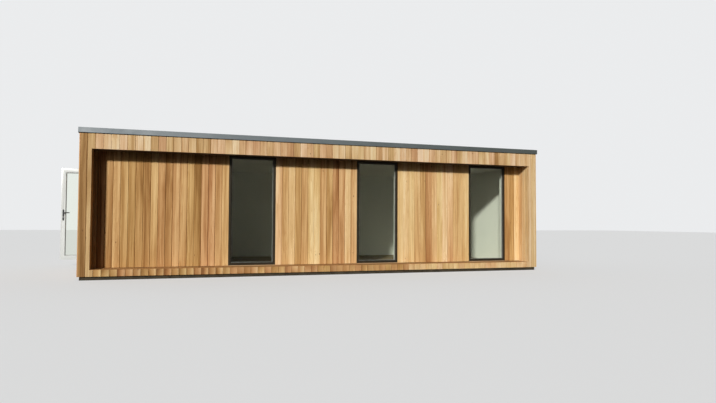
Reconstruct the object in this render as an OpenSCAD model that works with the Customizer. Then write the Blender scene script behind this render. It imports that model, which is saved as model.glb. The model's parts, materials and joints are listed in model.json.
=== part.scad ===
// Garden office pod: a flat-roofed timber room clad in upright cedar boards. A deep boarded
// frame stands out round its front, with three tall fixed windows in the recessed wall behind
// it, and a glazed white door stands open in the left end wall. Sizes are in millimetres.
// Lengths are laid out from the front left corner at ground level, then centred on the plan.

/* [Body] */
// Length over the boards of the two end walls
pod_length = 8700; // [8300:50:9600]
// Depth from the face of the front frame to the boards of the back wall
pod_depth = 4100; // [3950:50:5000]
// Height from the ground to the top of the roof trim
pod_height = 2500; // [2450:10:2800]

/* [Front frame] */
// How far the canopy, cheeks and ledge stand in front of the recessed wall
frame_reach = 345; // [200:5:600]
// Height of the boarded fascia that shows under the roof trim
fascia_height = 260; // [180:5:300]
// How far the fascia boards hang below the soffit
fascia_drip = 10; // [4:1:20]
// Height of the boarded ledge along the foot of the front
ledge_height = 110; // [90:2:140]

/* [Base] */
// Height of the bearers, which is the dark gap under the boards
bearer_height = 60; // [40:5:120]
// Width of each bearer
bearer_width = 75; // [47:1:150]
// Number of long bearers, an odd number so that one lies under the middle
bearer_count = 7; // [5:2:9]
// How far the bearers stand back from the face of the boards
bearer_inset = 35; // [25:5:120]
// Thickness of the floor deck
deck_thickness = 45; // [35:1:60]
// Thickness of the floor boards inside
floorboard_thickness = 18; // [10:1:22]

/* [Walls] */
// Thickness of the insulated wall panels
panel_thickness = 150; // [120:5:200]
// Thickness of the cedar boards
board_thickness = 20; // [16:1:25]
// Thickness of the white lining boards inside
lining_thickness = 12; // [9:1:18]
// Gap between the wall boards and the ledge, for rain to drain
board_foot_gap = 7; // [4:1:12]

/* [Roof] */
// Drop of the roof surface from front to back
roof_fall = 70; // [40:5:100]
// Height of the timber kerb above the front edge of the roof
kerb_height = 30; // [20:1:50]
// Width of the timber kerb
kerb_width = 45; // [35:1:70]
// Thickness of the rubber roof sheet
membrane_thickness = 3; // [1.5:0.5:5]
// Height of the metal trim round the edge of the roof
trim_height = 85; // [60:1:110]
// How far the trim stands out from the boards
trim_overhang = 18; // [12:1:40]
// Thickness of the trim
trim_thickness = 3; // [2:0.5:4]

/* [Rainwater] */
// Width of the gutter over its two walls
gutter_width = 114; // [100:1:140]
// Height of the gutter
gutter_height = 62; // [50:1:80]
// Wall thickness of the gutter and the downpipe
gutter_wall = 3; // [2.5:0.5:4]
// Number of gutter brackets
bracket_count = 9; // [5:1:12]
// Width of the square downpipe
downpipe_width = 65; // [50:1:75]
// Distance of the downpipe from the right end of the pod
downpipe_from_end = 260; // [150:5:600]

/* [Windows] */
// Number of tall windows
window_count = 3; // [2:1:3]
// Width of a window over its frame
window_width = 850; // [600:10:1000]
// Distance from the left end of the pod to the first window
window_from_left = 2440; // [1200:1:2600]
// Distance from the last window to the right end of the pod
window_from_right = 537; // [400:1:1200]
// Height of a window's foot above the ledge
window_foot = 12; // [10:1:40]
// Width of the window frame seen from outside
window_face = 46; // [42:1:70]
// Depth of the window frame
window_depth = 70; // [60:1:90]
// How far the window frame stands behind the face of the boards
window_setback = 10; // [5:1:18]
// Thickness of a sealed glass unit
glass_thickness = 28; // [20:1:28]
// How far a glass unit is held in its frame
glass_hold = 15; // [10:1:20]

/* [Door] */
// Angle at which the door stands open
door_open = 90; // [0:5:105]
// Width of the door over its outer frame
door_width = 890; // [860:10:1000]
// Distance from the back of the pod to the far side of the door
door_from_back = 340; // [250:5:1200]
// Width of the outer frame, face and stop together
door_frame_face = 70; // [60:1:80]
// Width of the outer frame's stop, which the leaf closes against
door_stop = 30; // [25:1:35]
// Depth of the outer frame's stop behind the leaf
door_stop_depth = 17; // [12:1:30]
// How far the outer frame stands behind the face of the boards
door_setback = 5; // [0:1:10]
// Width of the leaf's own frame
leaf_face = 94; // [90:1:115]
// Thickness of the leaf
leaf_thickness = 60; // [52:1:64]
// How far the leaf stands proud of the outer frame
leaf_proud = 10; // [5:1:15]
// Gap all round the closed leaf
leaf_gap = 8; // [7:0.5:9]
// Height of the threshold above the floor deck
threshold_height = 13; // [8:1:20]
// Radius of the hinge knuckles
knuckle_radius = 9; // [7:0.5:10]
// Radius of the hinge pins
pin_radius = 5; // [3:0.5:5.5]
// Height of one half of a hinge
hinge_half = 45; // [35:1:60]
// Height of the lever's spindle above the ground
spindle_height = 1150; // [950:10:1250]
// Distance of the spindle from the free edge of the leaf
spindle_backset = 47; // [45:1:55]
// Length of the lever's grip
lever_length = 118; // [90:1:140]

/* [Hidden] */

$fn = 48;

// A little more than a cut needs, so that it passes right through
through = 1;

// Levels above the ground
deck_top = bearer_height + deck_thickness;
floor_top = deck_top + floorboard_thickness;
ledge_top = bearer_height + ledge_height;
window_sill = ledge_top + window_foot;
fascia_top = pod_height - trim_height;
fascia_foot = fascia_top - fascia_height;
soffit_face = fascia_foot + fascia_drip;
roof_underside = soffit_face + board_thickness;
ceiling_face = roof_underside - lining_thickness;
kerb_top = pod_height - trim_thickness;
roof_front = kerb_top - kerb_height;

// The boards run up behind the trim by this much
board_tuck = 20;
board_top = fascia_top + board_tuck;

// Distances from the front left corner
panel_out = board_thickness;
panel_in = panel_out + panel_thickness;
lining_in = panel_in + lining_thickness;
cheek_width = panel_in + board_thickness;
wall_boards_face = frame_reach;
wall_panel_out = wall_boards_face + board_thickness;
wall_panel_in = wall_panel_out + panel_thickness;
wall_lining_in = wall_panel_in + lining_thickness;
right_in = pod_length - panel_in;
back_in = pod_depth - panel_in;
far_right = pod_length - panel_out;
far_back = pod_depth - panel_out;

// Left edges of the windows
window_spacing = (pod_length - window_from_left - window_from_right - window_width) / (window_count - 1);
window_edges = [for (i = [0 : window_count - 1]) window_from_left + i * window_spacing];
window_height = soffit_face - window_sill;
window_face_y = wall_boards_face + window_setback;
window_back_y = window_face_y + window_depth;

// The pieces of wall between the windows, as pairs of a left and a right edge
function wall_bays(left, right) = [
    for (i = [0 : window_count])
        [i == 0 ? left : window_edges[i - 1] + window_width,
         i == window_count ? right : window_edges[i]]
];

// Door sizes, along the left wall from its near side, and inwards from the face of the boards
door_far = pod_depth - door_from_back;
door_from_front = door_far - door_width;
door_height = soffit_face - deck_top;
rebate_face = door_frame_face - door_stop;
leaf_edge = rebate_face + leaf_gap;
leaf_width = door_width - 2 * leaf_edge;
leaf_foot = deck_top + threshold_height + leaf_gap;
leaf_height = soffit_face - leaf_edge - leaf_foot;
leaf_outer = door_setback - leaf_proud;
leaf_inner = leaf_outer + leaf_thickness;
stop_face = leaf_inner + leaf_gap;
door_back = stop_face + door_stop_depth;
stop_bevel = 6;
stop_lip = 17;

// The hinge axis stands outside the leaf, just beyond its edge
knuckle_clearance = 3;
hinge_offset = 7;
hinge_x = leaf_outer - knuckle_clearance - knuckle_radius;
hinge_y = door_from_front + leaf_edge + leaf_width + hinge_offset;
pin_clearance = 0.08;
pin_short = 8;
pin_head_gap = 1;
knuckle_gap = 0.5;
hinge_plate = 3;
hinge_plate_width = 32;
hinge_from_end = 210;
hinge_levels = [leaf_foot + hinge_from_end, leaf_foot + leaf_height / 2,
                leaf_foot + leaf_height - hinge_from_end];

// What lies on the sloping roof is bedded in a thin layer of adhesive
bedding = 0.3;

// Height of the roof surface at a distance from the front
function roof_at(y) = roof_front - roof_fall * (y - panel_out) / (far_back - panel_out);

// Everything is laid out from the front left corner and centred on the plan here
module on_site() translate([-pod_length / 2, -pod_depth / 2, 0]) children();

// A square block between two corners
module block(low, high) translate(low) cube(high - low);

// An outline in depth and height, drawn out along the length from one place to another
module run_along(from, to)
    translate([from, 0, 0]) rotate([90, 0, 90]) linear_extrude(to - from) children();

// An outline in length and height, drawn out along the depth from one place to another
module run_back(from, to)
    translate([0, to, 0]) rotate([90, 0, 0]) linear_extrude(to - from) children();

// One upright of a mitred frame: the section is drawn from the outer edge inwards and from
// the outside face inwards, and the ends are cut at 45 degrees, or square at an open foot
module mitred_upright(height, face, section, open_foot) {
    depth = max([for (p = section) p[1]]);
    front = min([for (p = section) p[1]]);
    intersection() {
        linear_extrude(height) polygon(section);
        run_back(front - through, depth + through)
            polygon([[0, 0], [face, open_foot ? 0 : face], [face, height - face], [0, height]]);
    }
}

// The head of a mitred frame, made on its own level as a rail
module mitred_rail(width, face, section) {
    depth = max([for (p = section) p[1]]);
    front = min([for (p = section) p[1]]);
    intersection() {
        mirror([1, 0, -1]) linear_extrude(width) polygon(section);
        run_back(front - through, depth + through)
            polygon([[0, 0], [width, 0], [width - face, face], [face, face]]);
    }
}

// A frame of one section mitred at its corners, with or without a rail along its foot
module mitred_frame(width, height, face, section, open_foot = false) {
    mitred_upright(height, face, section, open_foot);
    translate([width, 0, 0]) mirror([1, 0, 0]) mitred_upright(height, face, section, open_foot);
    translate([0, 0, height]) mirror([0, 0, 1]) mitred_rail(width, face, section);
    if (!open_foot) mitred_rail(width, face, section);
}

// A section that holds a glass unit in a groove, with sloped beads outside and inside
function glazed_section(face, depth, glass_from, bead) = [
    [0, 0], [face - bead, 0], [face, bead], [face, glass_from],
    [face - glass_hold, glass_from], [face - glass_hold, glass_from + glass_thickness],
    [face, glass_from + glass_thickness], [face, depth - bead], [face - bead, depth], [0, depth]
];

// Lays a thing drawn for the front out on the left wall, from its near side towards the back
module on_left_wall() mirror([1, -1, 0]) translate([door_from_front, 0, 0]) children();

// Swings the leaf and what is on it from closed to where the door stands
module swung_open()
    translate([hinge_x, hinge_y, 0]) rotate([0, 0, -door_open])
        translate([-hinge_x, -hinge_y, 0]) children();

// An outline with round ends, standing upright on its centre
module upright_slot(width, height) {
    square([width, height - width], center = true);
    for (side = [-1, 1]) translate([0, side * (height - width) / 2]) circle(d = width);
}

// Base

module bearers() color("#2c2a26") on_site()
    for (i = [0 : bearer_count - 1]) {
        room = pod_depth - 2 * bearer_inset - bearer_width;
        y = bearer_inset + i * room / (bearer_count - 1);
        block([bearer_inset, y, 0], [pod_length - bearer_inset, y + bearer_width, bearer_height]);
    }

module floor_deck() color("#8a7a60") on_site()
    block([panel_out, panel_out, bearer_height], [far_right, far_back, deck_top]);

module floor_boards() color("#b8956a") on_site()
    block([panel_in, wall_panel_in, deck_top], [right_in, back_in, floor_top]);

// Walls

// One long timber fills the ledge and rises behind it to carry the wall and the windows
module front_sill_beam() color("#a58c64") on_site()
    run_along(panel_in, right_in)
        polygon([[panel_out, deck_top], [wall_panel_in, deck_top], [wall_panel_in, window_sill],
                 [wall_panel_out, window_sill], [wall_panel_out, ledge_top - board_thickness],
                 [panel_out, ledge_top - board_thickness]]);

module front_wall_panels() color("#b59c74") on_site()
    for (bay = wall_bays(panel_in, right_in))
        block([bay[0], wall_panel_out, window_sill], [bay[1], wall_panel_in, soffit_face]);

module back_wall() color("#b59c74") on_site()
    block([panel_in, back_in, deck_top], [right_in, far_back, roof_underside]);

module right_wall() color("#b59c74") on_site()
    block([right_in, panel_out, deck_top], [far_right, far_back, roof_underside]);

module left_wall_front() color("#b59c74") on_site()
    block([panel_out, panel_out, deck_top], [panel_in, door_from_front, roof_underside]);

module left_wall_rear() color("#b59c74") on_site()
    block([panel_out, door_far, deck_top], [panel_in, far_back, roof_underside]);

// Head boards close the window openings and the doorway, under the roof panel
module head_boards() color("#a58c64") on_site() {
    block([panel_in, wall_panel_out, soffit_face], [right_in, wall_panel_in, roof_underside]);
    block([panel_out, door_from_front, soffit_face], [panel_in, door_far, roof_underside]);
}

// Roof

module roof_panel() color("#b59c74") on_site()
    run_along(panel_out, far_right)
        polygon([[panel_out, roof_underside], [far_back, roof_underside],
                 [far_back, roof_at(far_back)], [panel_out, roof_at(panel_out)]]);

// A point of the roof's section, at a depth and a height over its sloping top
function on_roof(y, rise) = [y, roof_at(y) + bedding + rise];

// The kerb stands on the front and the two ends of the roof, with a level top
kerb_in = panel_out + kerb_width;

module roof_kerb() color("#a58c64") on_site() {
    run_along(panel_out, far_right)
        polygon([on_roof(panel_out, 0), on_roof(kerb_in, 0),
                 [kerb_in, kerb_top], [panel_out, kerb_top]]);
    for (x = [panel_out, far_right - kerb_width])
        run_along(x, x + kerb_width)
            polygon([on_roof(kerb_in, 0), on_roof(far_back, 0),
                     [far_back, kerb_top], [kerb_in, kerb_top]]);
}

// The rubber sheet covers the roof up to the drip trim at the back. On the other three sides
// it is turned up the kerb, and the leg of the roof trim covers its edge
drip_on_roof = 60;
drip_from = far_back - drip_on_roof;
trim_leg = 16;
upstand_in = kerb_in + membrane_thickness;
upstand_top = pod_height - trim_leg;

module roof_membrane() color("#26282a") on_site() {
    run_along(kerb_in, pod_length - kerb_in)
        polygon([on_roof(kerb_in, 0), on_roof(drip_from, 0),
                 on_roof(drip_from, membrane_thickness), on_roof(kerb_in, membrane_thickness)]);
    run_along(kerb_in, pod_length - kerb_in)
        polygon([on_roof(kerb_in, 0), on_roof(upstand_in, 0),
                 [upstand_in, upstand_top], [kerb_in, upstand_top]]);
    for (x = [kerb_in, pod_length - upstand_in])
        run_along(x, x + membrane_thickness)
            polygon([on_roof(kerb_in, 0), on_roof(far_back, 0),
                     [far_back, upstand_top], [kerb_in, upstand_top]]);
}

// Section of the roof trim, from the face of the boards inwards: a face with a drip lip, a
// flange over the kerb and a short leg down its inner side
trim_in = kerb_in + trim_thickness;
trim_lip = 5;
trim_section = [
    [-trim_overhang - trim_lip, fascia_top], [-trim_overhang, fascia_top + trim_lip],
    [-trim_overhang, pod_height], [trim_in, pod_height],
    [trim_in, upstand_top], [kerb_in, upstand_top],
    [kerb_in, kerb_top], [trim_thickness - trim_overhang, kerb_top],
    [trim_thickness - trim_overhang, fascia_top + trim_lip], [trim_thickness - trim_overhang, fascia_top]
];
trim_reach = trim_overhang + trim_lip;

// Levels and places of the gutter, below the drip at the back edge of the roof
bracket_plate = 5;
gutter_below_roof = 36;
gutter_lean = 10;
gutter_back = pod_depth + bracket_plate;
gutter_front = gutter_back + gutter_width;
gutter_top = roof_at(pod_depth) - gutter_below_roof;
gutter_foot = gutter_top - gutter_height;
gutter_from = bearer_inset;
gutter_to = pod_length - bearer_inset;

// An end trim with its mitre at the front, and a cap that closes it and the kerb at the back
cap_above_gutter = 3;
trim_end = pod_depth + trim_overhang;

module end_trim() {
    intersection() {
        run_back(-trim_reach, trim_end) polygon(trim_section);
        linear_extrude(pod_height + through)
            polygon([[-trim_reach, -trim_reach], [trim_in, trim_in],
                     [trim_in, trim_end], [-trim_reach, trim_end]]);
    }
    block([-trim_overhang, trim_end - trim_thickness, gutter_top + cap_above_gutter],
          [trim_in, trim_end, pod_height]);
}

module roof_trim() color("#9aa5a8") on_site() {
    intersection() {
        run_along(-trim_reach, pod_length + trim_reach) polygon(trim_section);
        linear_extrude(pod_height + through)
            polygon([[-trim_reach, -trim_reach], [pod_length + trim_reach, -trim_reach],
                     [pod_length - trim_in, trim_in], [trim_in, trim_in]]);
    }
    end_trim();
    translate([pod_length, 0, 0]) mirror([1, 0, 0]) end_trim();
}

// The drip trim lies on the roof's back edge and turns down into the gutter
drip_stand_off = 25;
drip_drop = 48;
drip_face = pod_depth + drip_stand_off;

module rear_drip_trim() color("#9aa5a8") on_site()
    translate([0, 0, bedding]) run_along(upstand_in, pod_length - upstand_in)
        polygon([[drip_from, roof_at(drip_from)], [drip_from, roof_at(drip_from) + trim_thickness],
                 [drip_face, roof_at(drip_face) + trim_thickness],
                 [drip_face, roof_at(drip_face) - drip_drop],
                 [drip_face - trim_thickness, roof_at(drip_face) - drip_drop],
                 [drip_face - trim_thickness, roof_at(drip_face)]]);

// Rainwater

// Where the square downpipe hangs, below the outlet of the gutter
downpipe_x = pod_length - downpipe_from_end;
downpipe_y = gutter_back + gutter_width / 2;
pipe_half = downpipe_width / 2;
pipe_near = downpipe_y - pipe_half;
pipe_far = downpipe_y + pipe_half;

// Half the section of the channel, the outside or the inside, as an outline in depth and height
module gutter_outline(wall, top)
    polygon([[gutter_back + wall, top], [gutter_back + wall, gutter_foot + wall],
             [gutter_front - gutter_lean - wall, gutter_foot + wall], [gutter_front - wall, top]]);

// The channel is closed at both ends, and open at its outlet over the downpipe
module gutter() color("#33373a") on_site()
    difference() {
        run_along(gutter_from, gutter_to) gutter_outline(0, gutter_top);
        run_along(gutter_from + gutter_wall, gutter_to - gutter_wall)
            gutter_outline(gutter_wall, gutter_top + through);
        block([downpipe_x - pipe_half + gutter_wall, pipe_near + gutter_wall, gutter_foot - through],
              [downpipe_x + pipe_half - gutter_wall, pipe_far - gutter_wall, gutter_top]);
    }

// A gutter bracket is a back plate and an arm under the gutter with a turned-up end
bracket_width = 30;
bracket_arm = 4;
bracket_lip = 22;
bracket_clearance = 0.3;

module gutter_bracket(x) {
    arm_top = gutter_foot - bracket_clearance;
    heel = gutter_front - gutter_lean + bracket_clearance;
    lip = heel + gutter_lean * bracket_lip / gutter_height;
    run_along(x - bracket_width / 2, x + bracket_width / 2)
        polygon([[pod_depth, gutter_top], [gutter_back - bracket_clearance, gutter_top],
                 [gutter_back - bracket_clearance, arm_top], [heel, arm_top],
                 [lip, gutter_foot + bracket_lip], [lip + bracket_arm, gutter_foot + bracket_lip],
                 [heel + bracket_arm, arm_top - bracket_arm], [pod_depth, arm_top - bracket_arm]]);
}

bracket_from_end = 250;
bracket_first = gutter_from + bracket_from_end;
bracket_last = gutter_to - bracket_from_end - downpipe_from_end;

module gutter_brackets() color("#33373a") on_site()
    for (i = [0 : bracket_count - 1])
        gutter_bracket(bracket_first + i * (bracket_last - bracket_first) / (bracket_count - 1));

// A square pipe under the gutter with a shoe at its foot, and clips that hold it to the wall.
// It is open from the outlet of the gutter to the mouth of the shoe
downpipe_foot = 190;
shoe_reach = 75;
shoe_fall = 60;
clip_wall = 4;
clip_height = 30;
clip_from_end = 200;
clip_levels = [downpipe_foot + clip_from_end, (downpipe_foot + gutter_foot) / 2,
               gutter_foot - clip_from_end];

// Section of the pipe and its shoe, the outside or the inside, as an outline in depth and height
module pipe_outline(wall, beyond) {
    mouth = downpipe_foot - shoe_fall - beyond;
    polygon([[pipe_near + wall, downpipe_foot], [pipe_near + wall, gutter_foot + beyond],
             [pipe_far - wall, gutter_foot + beyond], [pipe_far - wall, downpipe_foot],
             [pipe_far - wall + shoe_reach, mouth], [pipe_near + wall + shoe_reach, mouth]]);
}

module downpipe() color("#33373a") on_site() {
    difference() {
        run_along(downpipe_x - pipe_half, downpipe_x + pipe_half) pipe_outline(0, 0);
        run_along(downpipe_x - pipe_half + gutter_wall, downpipe_x + pipe_half - gutter_wall)
            pipe_outline(gutter_wall, through);
    }
    for (z = clip_levels)
        difference() {
            block([downpipe_x - pipe_half - clip_wall, pod_depth, z],
                  [downpipe_x + pipe_half + clip_wall, downpipe_y, z + clip_height]);
            block([downpipe_x - pipe_half, pipe_near, z - through],
                  [downpipe_x + pipe_half, downpipe_y + through, z + clip_height + through]);
        }
}

// Cedar boards, each face of boards as one skin

module fascia_cladding() color("#d9a870") on_site()
    block([cheek_width, 0, fascia_foot], [pod_length - cheek_width, board_thickness, board_top]);

module cheek_front_cladding() color("#cf9a62") on_site()
    for (x = [panel_out, pod_length - cheek_width])
        block([x, 0, bearer_height], [x + cheek_width - panel_out, board_thickness, board_top]);

module cheek_inner_cladding() color("#cf9a62") on_site()
    for (x = [panel_in, right_in - board_thickness])
        block([x, board_thickness, ledge_top], [x + board_thickness, wall_panel_out, soffit_face]);

module ledge_cladding() color("#cf9468") on_site()
    block([cheek_width, 0, bearer_height], [pod_length - cheek_width, board_thickness, ledge_top]);

module ledge_top_board() color("#b5794a") on_site()
    block([panel_in, board_thickness, ledge_top - board_thickness],
          [right_in, wall_panel_out, ledge_top]);

module soffit_cladding() color("#c08c58") on_site()
    block([panel_in, board_thickness, soffit_face], [right_in, wall_panel_out, roof_underside]);

module front_wall_cladding() color("#d4a26a") on_site()
    for (bay = wall_bays(cheek_width, pod_length - cheek_width))
        block([bay[0], wall_boards_face, ledge_top + board_foot_gap],
              [bay[1], wall_panel_out, soffit_face]);

module left_cladding() color("#d4a26a") on_site() {
    block([0, 0, bearer_height], [board_thickness, door_from_front, board_top]);
    block([0, door_far, bearer_height], [board_thickness, pod_depth, board_top]);
}

module left_cladding_over_door() color("#d4a26a") on_site()
    block([0, door_from_front, soffit_face], [board_thickness, door_far, board_top]);

module right_cladding() color("#d4a26a") on_site()
    block([far_right, 0, bearer_height], [pod_length, pod_depth, board_top]);

module back_cladding() color("#d4a26a") on_site()
    block([panel_out, far_back, bearer_height],
          [far_right, pod_depth, roof_at(pod_depth) - trim_thickness]);

// White lining inside

module front_lining() color("#e8e8e2") on_site()
    difference() {
        block([panel_in, wall_panel_in, floor_top], [right_in, wall_lining_in, ceiling_face]);
        for (x = window_edges)
            block([x, wall_panel_in - through, window_sill],
                  [x + window_width, wall_lining_in + through, soffit_face]);
    }

module back_lining() color("#e8e8e2") on_site()
    block([panel_in, back_in - lining_thickness, floor_top], [right_in, back_in, ceiling_face]);

// The left lining turns into the doorway as far as the back of the door's outer frame
module left_lining() color("#e8e8e2") on_site() {
    reveal = lining_thickness;
    difference() {
        block([panel_in, wall_lining_in, floor_top],
              [lining_in, back_in - lining_thickness, ceiling_face]);
        block([panel_in - through, door_from_front, floor_top - through],
              [lining_in + through, door_far, soffit_face]);
    }
    for (y = [door_from_front, door_far - reveal])
        block([door_back, y, floor_top], [lining_in, y + reveal, soffit_face]);
    block([door_back, door_from_front + reveal, soffit_face - reveal],
          [lining_in, door_far - reveal, soffit_face]);
}

module right_lining() color("#e8e8e2") on_site()
    block([right_in - lining_thickness, wall_lining_in, floor_top],
          [right_in, back_in - lining_thickness, ceiling_face]);

module ceiling_lining() color("#e8e8e2") on_site()
    block([panel_in, wall_panel_in, ceiling_face], [right_in, back_in, roof_underside]);

// Windows

window_bead = 10;
window_glass_from = (window_depth - glass_thickness) / 2;
glass_edge_gap = 4;

module window_frames() color("#3a3a36") on_site()
    for (x = window_edges)
        translate([x, window_face_y, window_sill])
            mitred_frame(window_width, window_height, window_face,
                         glazed_section(window_face, window_depth, window_glass_from, window_bead));

module window_glass() color("#7f9a94", 0.4) on_site()
    for (x = window_edges) {
        edge = window_face - glass_hold + glass_edge_gap;
        translate([x, window_face_y, window_sill])
            block([edge, window_glass_from, edge],
                  [window_width - edge, window_glass_from + glass_thickness, window_height - edge]);
    }

module window_reveals() color("#e8e8e2") on_site()
    for (x = window_edges)
        translate([x, 0, window_sill])
            difference() {
                block([0, window_back_y, 0], [window_width, wall_lining_in, window_height]);
                block([lining_thickness, window_back_y - through, lining_thickness],
                      [window_width - lining_thickness, wall_lining_in + through,
                       window_height - lining_thickness]);
            }

// Door

// Section of the outer frame: a face beside the leaf and a stop behind it
door_section = [
    [0, door_setback], [rebate_face, door_setback], [rebate_face, stop_face],
    [door_frame_face, stop_face], [door_frame_face, door_back - stop_bevel],
    [door_frame_face - stop_bevel, door_back], [0, door_back]
];

module door_frame() color("#eef0ee") on_site()
    on_left_wall() translate([0, 0, deck_top])
        mitred_frame(door_width, door_height, door_frame_face, door_section, open_foot = true);

// The sill: a sloped nose and apron outside, a tread under the leaf, a stop, and a plate
// through the wall that is level with the floor boards
sill_nose = 40;
sill_edge = 8;
sill_drop = 14;
sill_slope = 10;

module door_sill() color("#b4b8b8") on_site()
    on_left_wall() {
        nose_top = deck_top - sill_drop - sill_slope;
        run_along(0, door_width)
            polygon([[board_thickness, bearer_height], [0, bearer_height],
                     [0, nose_top - sill_edge + sill_slope / 2], [-sill_nose, nose_top - sill_edge],
                     [-sill_nose, nose_top], [0, deck_top - sill_drop],
                     [door_setback, deck_top], [board_thickness, deck_top]]);
        block([rebate_face, door_setback, deck_top],
              [door_width - rebate_face, stop_face, deck_top + threshold_height]);
        block([door_frame_face, stop_face, deck_top],
              [door_width - door_frame_face, door_back, leaf_foot + stop_lip]);
        block([lining_thickness, door_back, deck_top],
              [door_width - lining_thickness, panel_in, floor_top]);
    }

leaf_bead = 9;
leaf_glass_from = (leaf_thickness - glass_thickness) / 2;
leaf_section = [for (p = glazed_section(leaf_face, leaf_thickness, leaf_glass_from, leaf_bead))
    [p[0], p[1] + leaf_outer]];

spindle_radius = 6;
spindle_clearance = 5;
spindle_x = leaf_edge + spindle_backset;

// The lock strip lies flush in a groove down the free edge of the leaf
lock_strip_width = 20;
lock_strip_depth = 3;
lock_strip_from_end = 150;

// A round bar through the leaf, drawn for the front
module through_leaf(x, z, radius, from, to)
    translate([x, from, z]) rotate([-90, 0, 0]) cylinder(r = radius, h = to - from);

module lock_strip_outline(from_end, start, depth)
    block([leaf_edge - start, leaf_outer + (leaf_thickness - lock_strip_width) / 2, leaf_foot + from_end],
          [leaf_edge + depth, leaf_outer + (leaf_thickness + lock_strip_width) / 2,
           leaf_foot + leaf_height - from_end]);

module door_leaf() color("#f2f4f2") on_site() swung_open()
    on_left_wall() difference() {
        translate([leaf_edge, 0, leaf_foot])
            mitred_frame(leaf_width, leaf_height, leaf_face, leaf_section);
        through_leaf(spindle_x, spindle_height, spindle_radius + spindle_clearance,
                     leaf_outer - through, leaf_inner + through);
        lock_strip_outline(lock_strip_from_end, through, lock_strip_depth);
    }

module door_lock_strip() color("#b8bcbe") on_site() swung_open()
    on_left_wall() lock_strip_outline(lock_strip_from_end, 0, lock_strip_depth);

module door_glass() color("#7f9a94", 0.4) on_site() swung_open()
    on_left_wall() translate([leaf_edge, leaf_outer, leaf_foot]) {
        edge = leaf_face - glass_hold + glass_edge_gap;
        block([edge, leaf_glass_from, edge],
              [leaf_width - edge, leaf_glass_from + glass_thickness, leaf_height - edge]);
    }

// Handle plates with round ends, one on each face of the leaf, each with its lock cylinder
plate_width = 30;
plate_height = 240;
plate_depth = 8;
plate_drop = 50;
neck_radius = 8.5;
neck_clearance = 0.3;
lock_drop = 92;
lock_width = 11;
lock_height = 30;
lock_proud = 3;

module handle_plate(face, side) {
    from = side < 0 ? face - plate_depth : face;
    lock_from = side < 0 ? from - lock_proud : from + plate_depth;
    difference() {
        translate([spindle_x, 0, spindle_height - plate_drop])
            run_back(from, from + plate_depth) upright_slot(plate_width, plate_height);
        through_leaf(spindle_x, spindle_height, neck_radius + neck_clearance,
                     from - through, from + plate_depth + through);
    }
    translate([spindle_x, 0, spindle_height - lock_drop])
        run_back(lock_from, lock_from + lock_proud) upright_slot(lock_width, lock_height);
}

module door_handle_plates() color("#1c1c1c") on_site() swung_open()
    on_left_wall() {
        handle_plate(leaf_outer, -1);
        handle_plate(leaf_inner, 1);
    }

// A lever on each face, joined by the spindle that passes through the leaf
lever_reach = 52;
lever_height = 20;
lever_depth = 12;
neck_gap = 1;
spindle_end = 2;

module lever(face, side) {
    neck_length = lever_reach - neck_gap;
    neck_from = side < 0 ? face - lever_reach : face + neck_gap;
    grip_from = side < 0 ? face - lever_reach : face + lever_reach - lever_depth;
    through_leaf(spindle_x, spindle_height, neck_radius, neck_from, neck_from + neck_length);
    translate([spindle_x + (lever_length - lever_height) / 2, 0, spindle_height])
        run_back(grip_from, grip_from + lever_depth)
            rotate(90) upright_slot(lever_height, lever_length);
}

module door_lever() color("#1c1c1c") on_site() swung_open()
    on_left_wall() {
        through_leaf(spindle_x, spindle_height, spindle_radius,
                     leaf_outer - spindle_end, leaf_inner + spindle_end);
        lever(leaf_outer, -1);
        lever(leaf_inner, 1);
    }

// Each hinge is a lower half with a pin, screwed to the outer frame, and an upper half on the
// leaf that turns on the pin

module knuckle(z, height) translate([hinge_x, hinge_y, z]) cylinder(r = knuckle_radius, h = height);

module hinge_fixed_halves() color("#e4e6e4") on_site()
    for (z = hinge_levels) {
        low = z - hinge_half;
        knuckle(low, hinge_half - knuckle_gap);
        translate([hinge_x, hinge_y, low]) cylinder(r = pin_radius, h = 2 * hinge_half - pin_short);
        block([hinge_x, hinge_y, low],
              [door_setback - hinge_plate, hinge_y + knuckle_radius, z - knuckle_gap]);
        block([door_setback - hinge_plate, hinge_y, low],
              [door_setback, hinge_y + hinge_plate_width, z - knuckle_gap]);
    }

module hinge_moving_halves() color("#e4e6e4") on_site() swung_open()
    for (z = hinge_levels)
        difference() {
            union() {
                knuckle(z, hinge_half);
                block([hinge_x, hinge_y - knuckle_radius, z], [leaf_outer, hinge_y, z + hinge_half]);
                block([leaf_outer - hinge_plate, hinge_y - hinge_offset - hinge_plate_width, z],
                      [leaf_outer, hinge_y, z + hinge_half]);
            }
            translate([hinge_x, hinge_y, z - through])
                cylinder(r = pin_radius + pin_clearance,
                         h = through + hinge_half - pin_short + pin_head_gap);
        }

bearers();
floor_deck();
floor_boards();
front_sill_beam();
front_wall_panels();
back_wall();
right_wall();
left_wall_front();
left_wall_rear();
head_boards();
roof_panel();
roof_membrane();
roof_kerb();
roof_trim();
rear_drip_trim();
gutter();
gutter_brackets();
downpipe();
fascia_cladding();
cheek_front_cladding();
cheek_inner_cladding();
ledge_cladding();
ledge_top_board();
soffit_cladding();
front_wall_cladding();
left_cladding();
left_cladding_over_door();
right_cladding();
back_cladding();
front_lining();
back_lining();
left_lining();
right_lining();
ceiling_lining();
window_frames();
window_glass();
window_reveals();
door_frame();
door_sill();
door_leaf();
door_glass();
door_lock_strip();
door_handle_plates();
door_lever();
hinge_fixed_halves();
hinge_moving_halves();
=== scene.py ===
# %% [markdown]
# A garden office pod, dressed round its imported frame.
# The frame holds every solid at its real place and size, in metres: +X runs along the front
# to its right end, +Y from the front to the back, and +Z is up from the ground.
# This file gives the solids their looks: cedar boards one by one, glass, paint, plastic and
# rubber, a studio floor, plain light, and a camera at the viewing angle of the photograph.

import json
import math
import random

import bmesh
import bpy
from mathutils import Matrix, Vector


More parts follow.
